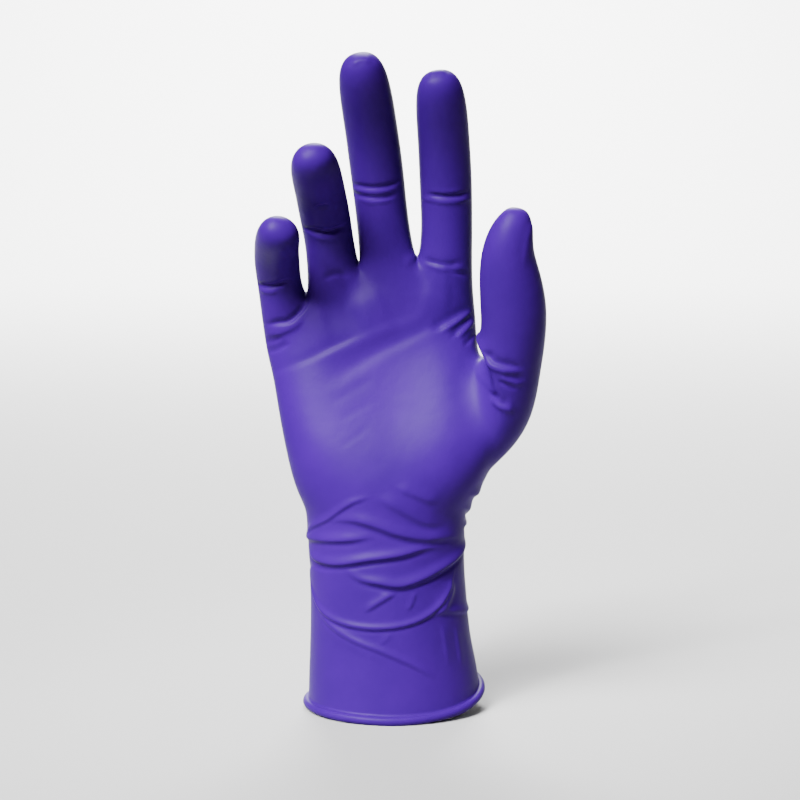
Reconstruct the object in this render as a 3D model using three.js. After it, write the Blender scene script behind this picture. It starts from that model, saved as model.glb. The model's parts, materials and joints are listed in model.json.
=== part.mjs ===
// A thin rubber examination glove for a right hand, kept in the form that it has when worn:
// fingers up (+Z), palm to the front (-Y) and thumb to the right (+X). It is one dipped film,
// so it is one solid: a wall that is open at the wrist and ends there in a rolled bead.
// The origin is the middle of the wrist opening. Lengths are in millimetres, angles in degrees.
import * as THREE from "three";

// Film
const FILM_WALL = 1.0;
const BEAD_DIAMETER = 3.6;

// Sleeve, from the bead to the wrist's crease
const SLEEVE_LENGTH = 78;
const CUFF_BREADTH = 69;
const CUFF_DEPTH = 59;
const WRIST_BREADTH = 62.5;
const WRIST_DEPTH = 46;
const WRIST_SHIFT = -3.2;
const HEM_TILT_SIDE = 5;
const HEM_TILT_FRONT = 7;
const HEM_WAVE = 1.6;
const SLEEVE_FOLD_HEIGHT = 1.5;

// Palm, from the wrist's crease to the foot of the middle finger
const PALM_LENGTH = 95;
const PALM_BREADTH = 85;
const PALM_DEPTH = 29;
const PALM_SHIFT = -10;
const PALM_LEAN = 9.5;
const PALM_HOLLOW = 5;
const PALM_FOLD_HEIGHT = 1.2;

// Fingers
const MIDDLE_FOOT_SHIFT = -3;
const FINGER_SPACING = 21.8;
const FINGER_SLANT = 9.5;
const KNUCKLE_ARCH = 8;
const INDEX_LENGTH = 85;
const MIDDLE_LENGTH = 91;
const RING_LENGTH = 75;
const LITTLE_LENGTH = 52.5;
const INDEX_BREADTH = 21;
const MIDDLE_BREADTH = 21.2;
const RING_BREADTH = 20;
const LITTLE_BREADTH = 18;
const FINGER_FLATNESS = 0.93;
const WEB_RISE = 3.8;
const JOINT_CREASE_DEPTH = 0.9;
const JOINT_CREASE_WIDTH = 3.5;

// Thumb
const THUMB_LENGTH = 82;
const THUMB_BREADTH = 26;
const THUMB_DEPTH = 24;
const THUMB_FOLD_HEIGHT = 1.1;

const { degToRad, radToDeg, euclideanModulo, lerp, smoothstep } = THREE.MathUtils;
const UP = new THREE.Vector3(0, 0, 1);
const BACK = new THREE.Vector3(0, 1, 0);

// The control cage: points and four-sided faces, which are refined and smoothed later on.
const points = [];
const quads = [];

function addPoint(x, y, z) {
  points.push(new THREE.Vector3(x, y, z));
  return points.length - 1;
}

// Smoothing draws a ring inwards, so its control points stand outside it by this factor.
const ringSwell = (count) => 6 / (4 + 2 * Math.cos((2 * Math.PI) / count));

// Trunk: the sleeve and the palm, as rings of points that start at the thumb's side and run over
// the back of the hand, past the little finger and over the palm.
const TRUNK_POINT_COUNT = 20;

// up: share of the sleeve's length; narrow and thin: 0 is the cuff's size, 1 is the wrist's;
// shift: share of the wrist's shift; flare: how far the thumb's side stands out, as a share
const SLEEVE_RINGS = [
  { up: 0, narrow: 0.12, thin: 0, shift: 0.2, flare: 0.03 },
  { up: 0.12, narrow: 0.3, thin: 0.2, shift: 0.3, flare: 0.02 },
  { up: 0.26, narrow: 0.62, thin: 0.38, shift: 0.48, flare: 0 },
  { up: 0.4, narrow: 0.84, thin: 0.52, shift: 0.6, flare: 0 },
  { up: 0.51, narrow: 0.94, thin: 0.66, shift: 0.7, flare: 0 },
  { up: 0.585, narrow: 0.98, thin: 0.75, shift: 0.82, flare: 0 },
  { up: 0.66, narrow: 1, thin: 0.82, shift: 0.9, flare: 0 },
  { up: 0.735, narrow: 0.98, thin: 0.88, shift: 0.95, flare: 0 },
  { up: 0.81, narrow: 0.9, thin: 0.93, shift: 1, flare: 0 },
  { up: 0.885, narrow: 0.82, thin: 0.97, shift: 1, flare: 0 },
  { up: 0.96, narrow: 0.72, thin: 1, shift: 1, flare: 0.005 },
];

// up: share of the palm's length; left, right and thin: 0 is the wrist's size, 1 is the palm's;
// shift, lean, slant, hollow: shares of the values of that name; ball: share of the palm's
// depth by which the ball of the thumb stands forward; patch: degrees by which the points at
// the thumb's side part to make room for it; square: 2 is an ellipse, more is boxier
const PALM_RINGS = [
  { up: 0.03, left: 0.36, right: 0.5, thin: 0, shift: 0, lean: 0,
    slant: 0, hollow: 0, ball: 0.15, patch: 12, square: 2 },
  { up: 0.12, left: 0.6, right: 0.96, thin: 0.06, shift: 0.02, lean: 0.02,
    slant: 0, hollow: 0.1, ball: 0.5, patch: 34, square: 2.05 },
  { up: 0.26, left: 0.78, right: 1, thin: 0.2, shift: 0.12, lean: 0.14,
    slant: 0.05, hollow: 0.45, ball: 0.85, patch: 40, square: 2.15 },
  { up: 0.4, left: 0.82, right: 1.05, thin: 0.42, shift: 0.38, lean: 0.36,
    slant: 0.2, hollow: 0.85, ball: 0.85, patch: 40, square: 2.2 },
  { up: 0.59, left: 0.82, right: 1.04, thin: 0.68, shift: 0.71, lean: 0.64,
    slant: 0.54, hollow: 1, ball: 0.42, patch: 31, square: 2.25 },
  { up: 0.695, left: 0.88, right: 1, thin: 0.84, shift: 0.87, lean: 0.82,
    slant: 0.78, hollow: 0.65, ball: 0, patch: 12, square: 2.3 },
  { up: 0.79, left: 0.93, right: 1.02, thin: 0.98, shift: 1, lean: 0.94,
    slant: 1, hollow: 0.2, ball: 0, patch: 0, square: 2.3 },
];

const rounded = (cosine, power) => Math.sign(cosine) * Math.abs(cosine) ** (2 / power);

// A ring with its middle at (x, y, z). rise gives the height and push the way to the front that
// a point gets for its cosine and sine, which are 1 at the thumb's side and at the back.
function trunkRing({ x, y, z, left, right, depth, square, patch = 0, rise, push }) {
  const swell = ringSwell(TRUNK_POINT_COUNT);
  return Array.from({ length: TRUNK_POINT_COUNT }, (_, i) => {
    const even = (2 * Math.PI * i) / TRUNK_POINT_COUNT;
    const angle = even + degToRad(patch) * Math.sin(even) * Math.max(0, Math.cos(even));
    const [c, s] = [Math.cos(angle), Math.sin(angle)];
    const across = (c > 0 ? right : left) * swell * rounded(c, square);
    const deep = (depth / 2) * swell * rounded(s, square);
    return addPoint(x + across, y + deep - push(c, s), z + rise(c, s));
  });
}

function sleeveRing({ up, narrow, thin, shift, flare }) {
  const fade = (1 - up) ** 2;
  const half = lerp(CUFF_BREADTH, WRIST_BREADTH, narrow) / 2;
  const depth = lerp(CUFF_DEPTH, WRIST_DEPTH, thin);
  const sideRise = half * Math.tan(degToRad(HEM_TILT_SIDE));
  const backRise = (depth / 2) * Math.tan(degToRad(HEM_TILT_FRONT));
  return trunkRing({
    x: WRIST_SHIFT * shift,
    y: 0,
    z: SLEEVE_LENGTH * up,
    left: half,
    right: half * (1 + flare),
    depth,
    square: 2,
    rise: (c, s) => fade * (sideRise * c + backRise * s + HEM_WAVE * 2 * s * c),
    push: () => 0,
  });
}

// The palm's middle line leans back as it goes up.
const palmY = (lean) => PALM_LENGTH * Math.tan(degToRad(PALM_LEAN)) * lean;

function palmRing({ up, left, right, thin, shift, lean, slant, hollow, ball, patch, square }) {
  const half = (share) => lerp(WRIST_BREADTH, PALM_BREADTH, share) / 2;
  const depth = lerp(WRIST_DEPTH, PALM_DEPTH, thin);
  const slope = half(left) * Math.tan(degToRad(FINGER_SLANT)) * slant;
  return trunkRing({
    x: lerp(WRIST_SHIFT, PALM_SHIFT, shift),
    y: palmY(lean),
    z: SLEEVE_LENGTH + PALM_LENGTH * up,
    left: half(left),
    right: half(right),
    depth,
    square,
    patch,
    rise: (c) => slope * c - slant * KNUCKLE_ARCH * c ** 2,
    push: (c, s) => {
      const front = Math.max(0, -s);
      const thumbSide = Math.max(0, c);
      return ball * PALM_DEPTH * front * thumbSide ** 2 - hollow * PALM_HOLLOW * front ** 4;
    },
  });
}

const trunk = [...SLEEVE_RINGS.map(sleeveRing), ...PALM_RINGS.map(palmRing)];

// The thumb leaves the palm through a patch of its right side, so no wall closes that patch.
const thumbPatchStart = SLEEVE_RINGS.length + 1;
const thumbPatchFaces = 3;
const thumbRows = trunk.slice(thumbPatchStart, thumbPatchStart + thumbPatchFaces + 1);
const backEdge = 1;
const frontEdge = TRUNK_POINT_COUNT - 1;

function addWall(lower, upper, open = []) {
  lower.forEach((corner, i) => {
    const j = (i + 1) % lower.length;
    if (!open.includes(i)) quads.push([corner, lower[j], upper[j], upper[i]]);
  });
}

trunk.slice(1).forEach((upper, k) => {
  const beside = k >= thumbPatchStart && k < thumbPatchStart + thumbPatchFaces;
  addWall(trunk[k], upper, beside ? [0, frontEdge] : []);
});

// Digits: a patch of faces is drawn out, ring by ring. A patch has a loop of outer points, which
// starts at the thumb's side and runs over the back, and inner points on its middle line.
function drawOut(patch, { centre, along, halfBreadth, halfDepth, dome }) {
  const back = BACK.clone().addScaledVector(along, -BACK.dot(along)).normalize();
  const side = back.clone().cross(along);
  const swell = ringSwell(patch.loop.length);
  const place = (c, s, lift = 0) => {
    const p = centre.clone().addScaledVector(side, c * halfBreadth * swell);
    return addPoint(...p.addScaledVector(back, s * halfDepth * swell).addScaledVector(along, lift));
  };
  const loop = patch.loop.map((_, i) => {
    const angle = (2 * Math.PI * i) / patch.loop.length;
    return place(Math.cos(angle), Math.sin(angle));
  });
  const inner = patch.innerPlaces.map((c) => place(c, 0, dome));
  addWall(patch.loop, loop);
  const before = [...patch.loop, ...patch.inner];
  const after = [...loop, ...inner];
  const faces = patch.faces.map((face) => face.map((corner) => after[before.indexOf(corner)]));
  return { ...patch, loop, inner, faces };
}

// splay turns a direction from straight up to the left, and curl tips it to the front.
function direction(splay, curl) {
  const [s, c] = [degToRad(splay), degToRad(curl)];
  return new THREE.Vector3(-Math.sin(s), -Math.cos(s) * Math.sin(c), Math.cos(s) * Math.cos(c));
}

// The fingers' feet close the top of the trunk. spaces: how many spacings a foot is to the left
// of the middle finger's; up: share of the palm's length; lean: share of the palm's lean; joint:
// share of the finger's length below its middle joint; splay and curl: at the foot; hook: how
// much further the tip leans to the left; middleBend and endBend: how much further it curls at
// those two joints
const FINGERS = [
  { length: INDEX_LENGTH, breadth: INDEX_BREADTH, spaces: -1.12, up: 0.96, lean: 0.9, joint: 0.34,
    splay: -0.8, hook: 6.5, curl: 2, middleBend: 12, endBend: 12 },
  { length: MIDDLE_LENGTH, breadth: MIDDLE_BREADTH, spaces: 0, up: 1, lean: 1.01, joint: 0.34,
    splay: 5, hook: 3, curl: 5, middleBend: 15, endBend: 12 },
  { length: RING_LENGTH, breadth: RING_BREADTH, spaces: 0.96, up: 0.945, lean: 0.98, joint: 0.3,
    splay: 8.5, hook: -5, curl: 20, middleBend: 26, endBend: 14 },
  { length: LITTLE_LENGTH, breadth: LITTLE_BREADTH, spaces: 1.92, up: 0.825, lean: 0.8, joint: 0.3,
    splay: 10, hook: -20, curl: 24, middleBend: 26, endBend: 14 },
];

// place: 0 is the foot, 1 the middle joint and 2 the tip; middle and end: share of the bend at
// that joint which is behind this ring; breadth and depth: shares of the finger's own; dome: share
// of the breadth by which the tip's middle stands above the ring
const FINGER_RINGS = [
  { place: 0.5, middle: 0, end: 0, breadth: 0.97, depth: 1.02 },
  { place: 1, middle: 0.3, end: 0, breadth: 0.99, depth: 0.98 },
  { place: 1.2, middle: 0.8, end: 0, breadth: 1, depth: 0.97 },
  { place: 1.42, middle: 1, end: 0.2, breadth: 0.98, depth: 0.93 },
  { place: 1.64, middle: 1, end: 0.8, breadth: 0.98, depth: 0.92 },
  { place: 1.85, middle: 1, end: 1, breadth: 0.9, depth: 0.86 },
  { place: 1.96, middle: 1, end: 1, breadth: 0.6, depth: 0.55, dome: 0.11 },
];

function fingerRings(finger, foot) {
  const alongOf = ({ place }) => (place < 1 ? place * finger.joint : lerp(finger.joint, 1, place - 1));
  const heading = (row) =>
    direction(
      finger.splay + finger.hook * alongOf(row),
      finger.curl + row.middle * finger.middleBend + row.end * finger.endBend,
    );
  const centre = foot.clone();
  return FINGER_RINGS.map((row, i) => {
    const step = alongOf(row) - (i ? alongOf(FINGER_RINGS[i - 1]) : 0);
    const here = heading(row);
    const next = heading(FINGER_RINGS[i + 1] ?? row);
    centre.addScaledVector(here, step * finger.length);
    return {
      centre: centre.clone(),
      along: here.add(next).normalize(),
      halfBreadth: (finger.breadth * row.breadth) / 2,
      halfDepth: (finger.breadth * FINGER_FLATNESS * row.depth) / 2,
      dome: finger.breadth * (row.dome ?? 0),
    };
  });
}

const feet = FINGERS.map(
  ({ spaces, up, lean }) =>
    new THREE.Vector3(
      MIDDLE_FOOT_SHIFT - spaces * FINGER_SPACING,
      palmY(lean),
      SLEEVE_LENGTH + PALM_LENGTH * up,
    ),
);

// Across the top run columns of three points, at each finger's sides and middle. wide: share of
// the half breadth; deep: share of the half depth; drop: share of the breadth that they lie
// below the finger's foot or the web
const FINGER_POINT_COUNT = 8;
const TOP_COLUMNS = {
  outer: { wide: 0.85, deep: 0.7, backDrop: 0.32, midDrop: 0.22, frontDrop: 0.3 },
  middle: { wide: 1, deep: 1.12, backDrop: 0.45, midDrop: 0, frontDrop: 0.22 },
  web: { wide: 1, deep: 0.78, backDrop: 0.6, midDrop: 0, frontDrop: 0.25 },
};

function topColumn(kind, finger, middle, side = 0) {
  const { wide, deep, backDrop, midDrop, frontDrop } = TOP_COLUMNS[kind];
  const outwards = (side * finger.breadth) / 2;
  const depth = ((finger.breadth * FINGER_FLATNESS) / 2) * deep * ringSwell(FINGER_POINT_COUNT);
  const { x, y, z } = middle;
  return {
    back: addPoint(x + outwards * wide, y + depth, z - backDrop * finger.breadth),
    middle: addPoint(x + outwards, y, z - midDrop * finger.breadth),
    front: addPoint(x + outwards * wide, y - depth, z - frontDrop * finger.breadth),
  };
}

const columns = [topColumn("outer", FINGERS[0], feet[0], 1)];
FINGERS.forEach((finger, f) => {
  const foot = feet[f];
  const neighbour = feet[f + 1];
  columns.push(topColumn("middle", finger, foot));
  if (neighbour) {
    const web = foot.clone().lerp(neighbour, 0.5);
    web.z = Math.min(foot.z, neighbour.z) + WEB_RISE;
    columns.push(topColumn("web", finger, web));
  } else {
    columns.push(topColumn("outer", finger, foot, -1));
  }
});

addWall(trunk.at(-1), [
  columns[0].middle,
  ...columns.map((column) => column.back),
  columns.at(-1).middle,
  ...columns.map((column) => column.front).reverse(),
]);

FINGERS.forEach((finger, f) => {
  const [right, middle, left] = columns.slice(2 * f, 2 * f + 3);
  let patch = {
    loop: [
      right.middle,
      right.back,
      middle.back,
      left.back,
      left.middle,
      left.front,
      middle.front,
      right.front,
    ],
    inner: [middle.middle],
    innerPlaces: [0],
    faces: [
      [right.middle, right.back, middle.back, middle.middle],
      [middle.middle, middle.back, left.back, left.middle],
      [right.front, right.middle, middle.middle, middle.front],
      [middle.front, middle.middle, left.middle, left.front],
    ],
  };
  for (const ring of fingerRings(finger, feet[f])) patch = drawOut(patch, ring);
  quads.push(...patch.faces);
});

const MIDDLE_JOINT = FINGER_RINGS.findIndex(({ place }) => place === 1);
const joints = FINGERS.map((finger, f) => fingerRings(finger, feet[f])[MIDDLE_JOINT]);

// The thumb's rings fan out round the web beside the index finger, then stand up. right, up and
// front: shares of the thumb's length, from the web; splay and curl: where the ring faces;
// breadth, depth and dome: shares of the thumb's own, as on the fingers
const THUMB_WEB = { acrossPalm: 0.5, up: 0.67 };
const THUMB_RINGS = [
  { right: 0.07, up: -0.335, front: 0.14, splay: -90, curl: 12, breadth: 1.78, depth: 1.34 },
  { right: 0.12, up: -0.25, front: 0.2, splay: -75, curl: 22, breadth: 1.66, depth: 1.32 },
  { right: 0.14, up: -0.14, front: 0.25, splay: -54, curl: 28, breadth: 1.58, depth: 1.22 },
  { right: 0.152, up: -0.04, front: 0.29, splay: -28, curl: 28, breadth: 1.14, depth: 1.1 },
  { right: 0.178, up: 0.06, front: 0.32, splay: -6, curl: 22, breadth: 0.98, depth: 1.02 },
  { right: 0.175, up: 0.21, front: 0.36, splay: 3, curl: 16, breadth: 1.01, depth: 0.98 },
  { right: 0.152, up: 0.36, front: 0.39, splay: 6, curl: 10, breadth: 0.92, depth: 0.88 },
  { right: 0.138, up: 0.48, front: 0.41, splay: 0, curl: 6, breadth: 0.77, depth: 0.78 },
  { right: 0.163, up: 0.59, front: 0.42, splay: -8, curl: 4, breadth: 0.64, depth: 0.62 },
  { right: 0.188, up: 0.665, front: 0.42, splay: -12, curl: 4, breadth: 0.36, depth: 0.36, dome: 0.06 },
];

let thumb = {
  loop: [
    thumbRows[0][0],
    ...thumbRows.map((row) => row[backEdge]),
    thumbRows.at(-1)[0],
    ...thumbRows.map((row) => row[frontEdge]).reverse(),
  ],
  inner: thumbRows.slice(1, -1).map((row) => row[0]),
  innerPlaces: [0.33, -0.33],
  faces: thumbRows.slice(1).flatMap((upper, k) => {
    const lower = thumbRows[k];
    return [
      [lower[frontEdge], lower[0], upper[0], upper[frontEdge]],
      [lower[0], lower[backEdge], upper[backEdge], upper[0]],
    ];
  }),
};
const thumbWeb = new THREE.Vector3(
  PALM_SHIFT + PALM_BREADTH * THUMB_WEB.acrossPalm,
  palmY(THUMB_WEB.up),
  SLEEVE_LENGTH + PALM_LENGTH * THUMB_WEB.up,
);
for (const { right, up, front, splay, curl, breadth, depth, dome = 0 } of THUMB_RINGS) {
  const offset = new THREE.Vector3(right, -front, up).multiplyScalar(THUMB_LENGTH);
  thumb = drawOut(thumb, {
    centre: thumbWeb.clone().add(offset),
    along: direction(splay, curl),
    halfBreadth: (THUMB_BREADTH * breadth) / 2,
    halfDepth: (THUMB_DEPTH * depth) / 2,
    dome: THUMB_BREADTH * dome,
  });
}
quads.push(...thumb.faces);

// Patches that were drawn out leave their inner points behind, so those are dropped.
function dropLoosePoints(surface) {
  const kept = [...new Set(surface.quads.flat())];
  const place = new Map(kept.map((old, i) => [old, i]));
  return {
    points: kept.map((old) => surface.points[old]),
    quads: surface.quads.map((quad) => quad.map((corner) => place.get(corner))),
  };
}

const meanOf = (list) =>
  list.reduce((sum, p) => sum.add(p), new THREE.Vector3()).divideScalar(list.length);

// One step of smoothing: each face becomes four, and each point moves to the mean that makes
// the surface round. Along an open edge only that edge's own points count.
function refine(surface) {
  const keyOf = (a, b) => `${Math.min(a, b)} ${Math.max(a, b)}`;
  const newPoints = surface.points.map((p) => p.clone());
  const addMean = (list) => newPoints.push(meanOf(list)) - 1;
  const faceCorner = surface.quads.map((quad) => addMean(quad.map((c) => surface.points[c])));
  const edges = new Map();
  surface.quads.forEach((quad, f) => {
    quad.forEach((a, i) => {
      const b = quad[(i + 1) % 4];
      const key = keyOf(a, b);
      if (!edges.has(key)) edges.set(key, { ends: [a, b], faces: [] });
      edges.get(key).faces.push(f);
    });
  });
  const around = surface.points.map(() => ({ middles: [], rim: [], faces: [] }));
  for (const edge of edges.values()) {
    const ends = edge.ends.map((c) => surface.points[c]);
    const middle = meanOf(ends);
    const beside = edge.faces.map((f) => newPoints[faceCorner[f]]);
    edge.corner = addMean(beside.length === 2 ? [...ends, ...beside] : ends);
    for (const corner of edge.ends) {
      around[corner].middles.push(middle);
      if (beside.length === 1) around[corner].rim.push(middle);
    }
  }
  surface.quads.forEach((quad, f) => {
    for (const corner of quad) around[corner].faces.push(newPoints[faceCorner[f]]);
  });
  surface.points.forEach((own, corner) => {
    const { middles, rim, faces } = around[corner];
    const n = faces.length;
    if (rim.length) {
      newPoints[corner] = meanOf([own, own, ...rim]);
    } else {
      newPoints[corner].multiplyScalar((n - 3) / n);
      newPoints[corner].addScaledVector(meanOf(middles), 2 / n).addScaledVector(meanOf(faces), 1 / n);
    }
  });
  const newQuads = surface.quads.flatMap((quad, f) =>
    quad.map((corner, i) => {
      const after = edges.get(keyOf(corner, quad[(i + 1) % 4])).corner;
      const before = edges.get(keyOf(corner, quad[(i + 3) % 4])).corner;
      return [corner, after, faceCorner[f], before];
    }),
  );
  return { points: newPoints, quads: newQuads };
}

function normalsOf(surface) {
  const normals = surface.points.map(() => new THREE.Vector3());
  for (const quad of surface.quads) {
    const [a, b, c, d] = quad.map((corner) => surface.points[corner]);
    const normal = c.clone().sub(a).cross(d.clone().sub(b));
    quad.forEach((corner) => normals[corner].add(normal));
  }
  return normals.map((normal) => normal.normalize());
}

// Folds. Round the sleeve each one runs from one angle to another, counted from the thumb's side
// over the back. up, rise and sag: shares of the sleeve's length, for its start, for its end
// above that and for its middle; high: share of the fold's height, below 0 for a groove; wide:
// share of the sleeve's length
const SLEEVE_FOLDS = [
  { from: 190, to: 256, up: 0.86, rise: 0.18, sag: 0, high: 0.9, wide: 0.035 },
  { from: 222, to: 330, up: 0.94, rise: -0.09, sag: 0, high: 1, wide: 0.036 },
  { from: 178, to: 262, up: 0.81, rise: 0.05, sag: 0.01, high: 0.9, wide: 0.034 },
  { from: 182, to: 322, up: 0.72, rise: 0.06, sag: 0, high: 1, wide: 0.038 },
  { from: 236, to: 362, up: 0.7, rise: 0.1, sag: -0.13, high: 0.95, wide: 0.044 },
  { from: 170, to: 222, up: 0.66, rise: 0.01, sag: 0, high: -0.6, wide: 0.03 },
  { from: 188, to: 334, up: 0.55, rise: 0.08, sag: -0.2, high: 0.9, wide: 0.05 },
  { from: 200, to: 300, up: 0.45, rise: -0.26, sag: -0.02, high: -0.5, wide: 0.06 },
  { from: 292, to: 372, up: 0.43, rise: 0.03, sag: 0.02, high: 0.7, wide: 0.055 },
  { from: 4, to: 120, up: 0.9, rise: -0.06, sag: -0.03, high: 1, wide: 0.04 },
  { from: 40, to: 186, up: 0.8, rise: 0.03, sag: -0.04, high: 0.9, wide: 0.04 },
  { from: 350, to: 470, up: 0.72, rise: -0.03, sag: -0.03, high: 0.9, wide: 0.042 },
  { from: 70, to: 190, up: 0.6, rise: 0.08, sag: -0.05, high: 0.8, wide: 0.05 },
];

// Folds and grooves that the front shows run from one place to another. across and up: shares of
// the unit, from the origin; bend: how far the middle stands off to the left of the way; wide:
// share of the unit
const FRONT_FOLDS = [
  {
    origin: [PALM_SHIFT, SLEEVE_LENGTH],
    unit: [PALM_BREADTH, PALM_LENGTH],
    height: PALM_FOLD_HEIGHT,
    folds: [
      { across: -0.45, up: 0.56, acrossTo: 0.04, upTo: 0.77, bend: 0, high: -1.1, wide: 0.045 },
      { across: -0.22, up: 0.5, acrossTo: 0.48, upTo: 0.85, bend: 0.04, high: -0.9, wide: 0.045 },
      { across: -0.24, up: 0.63, acrossTo: 0.24, upTo: 0.85, bend: 0.02, high: 0.7, wide: 0.04 },
      { across: -0.2, up: 0.41, acrossTo: 0.05, upTo: 0.54, bend: 0.01, high: -0.6, wide: 0.05 },
      { across: -0.16, up: 0.22, acrossTo: 0.03, upTo: 0.34, bend: 0, high: -0.5, wide: 0.05 },
      { across: -0.5, up: 0.73, acrossTo: -0.26, upTo: 0.87, bend: -0.03, high: -0.9, wide: 0.04 },
    ],
  },
  {
    origin: [thumbWeb.x, thumbWeb.z],
    unit: [THUMB_LENGTH, THUMB_LENGTH],
    height: THUMB_FOLD_HEIGHT,
    folds: [
      { across: 0, up: 0, acrossTo: 0.28, upTo: -0.11, bend: -0.035, high: -1, wide: 0.03 },
      { across: 0.1, up: -0.12, acrossTo: 0.28, upTo: -0.15, bend: 0, high: 0.8, wide: 0.03 },
      { across: -0.03, up: -0.08, acrossTo: 0.16, upTo: -0.26, bend: -0.02, high: 0.9, wide: 0.035 },
      { across: 0.05, up: -0.22, acrossTo: 0.22, upTo: -0.34, bend: -0.01, high: 0.8, wide: 0.035 },
    ],
  },
];

const bell = (distance, width) => Math.exp(-((distance / width) ** 2));
const within = (t) => smoothstep(t, 0, 0.2) * smoothstep(1 - t, 0, 0.2);
const total = (list, height) => list.reduce((sum, item) => sum + height(item), 0);

function sleeveRelief(p) {
  const turn = radToDeg(Math.atan2(p.y / WRIST_DEPTH, (p.x - WRIST_SHIFT) / WRIST_BREADTH));
  return total(SLEEVE_FOLDS, ({ from, to, up, rise, sag, high, wide }) => {
    const t = euclideanModulo(turn - from, 360) / (to - from);
    const middle = up + rise * t + 4 * sag * t * (1 - t);
    return SLEEVE_FOLD_HEIGHT * high * within(t) * bell(p.z / SLEEVE_LENGTH - middle, wide);
  });
}

function frontRelief(p, normal) {
  const facing = smoothstep(-normal.y, 0.15, 0.6);
  return total(FRONT_FOLDS, ({ origin, unit, height, folds }) =>
    total(folds, ({ across, up, acrossTo, upTo, bend, high, wide }) => {
      const way = new THREE.Vector2((acrossTo - across) * unit[0], (upTo - up) * unit[1]);
      const start = new THREE.Vector2(origin[0] + across * unit[0], origin[1] + up * unit[1]);
      const here = new THREE.Vector2(p.x, p.z).sub(start);
      const t = here.dot(way) / way.lengthSq();
      const off = way.cross(here) / way.length() - 4 * bend * unit[0] * t * (1 - t);
      return height * high * facing * within(t) * bell(off, wide * unit[0]);
    }),
  );
}

// A finger's front is nipped in where the film bends at the middle joint.
function creaseRelief(p, normal) {
  return total(joints, ({ centre, along, halfBreadth }) => {
    const here = p.clone().sub(centre);
    const up = here.dot(along);
    const beside = here.addScaledVector(along, -up).length() < 1.4 * halfBreadth ? 1 : 0;
    const facing = smoothstep(-normal.y, 0, 0.7);
    return -JOINT_CREASE_DEPTH * beside * facing * bell(up, JOINT_CREASE_WIDTH);
  });
}

function fold(surface) {
  const normals = normalsOf(surface);
  const relief = (p, normal) => sleeveRelief(p) + frontRelief(p, normal) + creaseRelief(p, normal);
  const folded = surface.points.map((p, i) => {
    const normal = normals[i];
    return p.clone().addScaledVector(normal, relief(p, normal));
  });
  return { points: folded, quads: surface.quads };
}

const skin = fold(refine(dropLoosePoints({ points, quads })));

// The points round the open edge, in order, with the surface on their left.
function openEdge(surface) {
  const sides = surface.quads.flatMap((quad) => quad.map((a, i) => [a, quad[(i + 1) % 4]]));
  const known = new Set(sides.map(([a, b]) => `${a} ${b}`));
  const after = new Map(sides.filter(([a, b]) => !known.has(`${b} ${a}`)));
  const loop = [after.keys().next().value];
  while (after.get(loop.at(-1)) !== loop[0]) loop.push(after.get(loop.at(-1)));
  return loop;
}

// The solid: the outer face, the inner face one wall inside it, and the bead between them. The
// bead is rolled outwards from the hem, and its top meets the outer face.
const BEAD_STEP_COUNT = 6;

function filmSolid(surface) {
  const normals = normalsOf(surface);
  const all = surface.points.map((p) => p.clone());
  const innerFace = all.length;
  surface.points.forEach((p, i) => all.push(p.clone().addScaledVector(normals[i], -FILM_WALL)));
  const triangles = [];
  const addQuad = (a, b, c, d) => triangles.push(a, b, c, a, c, d);
  for (const [a, b, c, d] of surface.quads) {
    addQuad(a, b, c, d);
    addQuad(...[d, c, b, a].map((corner) => corner + innerFace));
  }
  const hem = openEdge(surface);
  const radius = BEAD_DIAMETER / 2;
  const start = -Math.acos((FILM_WALL - radius) / radius);
  const rings = [hem];
  for (let k = 1; k <= BEAD_STEP_COUNT; k++) {
    const angle = lerp(start, Math.PI, k / BEAD_STEP_COUNT);
    const out = radius * (Math.cos(angle) - Math.cos(start));
    const down = radius * (Math.sin(angle) - Math.sin(start));
    const ring = hem.map((corner) => {
      const p = surface.points[corner].clone().addScaledVector(normals[corner], out);
      return all.push(p.addScaledVector(UP, -down)) - 1;
    });
    rings.push(ring);
  }
  rings.push(hem.map((corner) => corner + innerFace));
  rings.slice(1).forEach((ring, k) => {
    ring.forEach((corner, i) => {
      const j = (i + 1) % ring.length;
      addQuad(rings[k][j], rings[k][i], corner, ring[j]);
    });
  });
  const places = all.flatMap((p) => p.toArray());
  const geometry = new THREE.BufferGeometry();
  geometry.setAttribute("position", new THREE.Float32BufferAttribute(places, 3));
  geometry.setIndex(triangles);
  geometry.computeVertexNormals();
  return geometry;
}

const nitrile = new THREE.MeshStandardMaterial({ color: 0x4526a0, roughness: 0.5, metalness: 0 });
const glove = new THREE.Mesh(filmSolid(skin), nitrile);
glove.name = "glove_film";

const object = new THREE.Group();
object.add(glove);

export default object;
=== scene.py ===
"""A violet-blue nitrile exam glove for a right hand, in the form it has when worn."""
import json
import math

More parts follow.
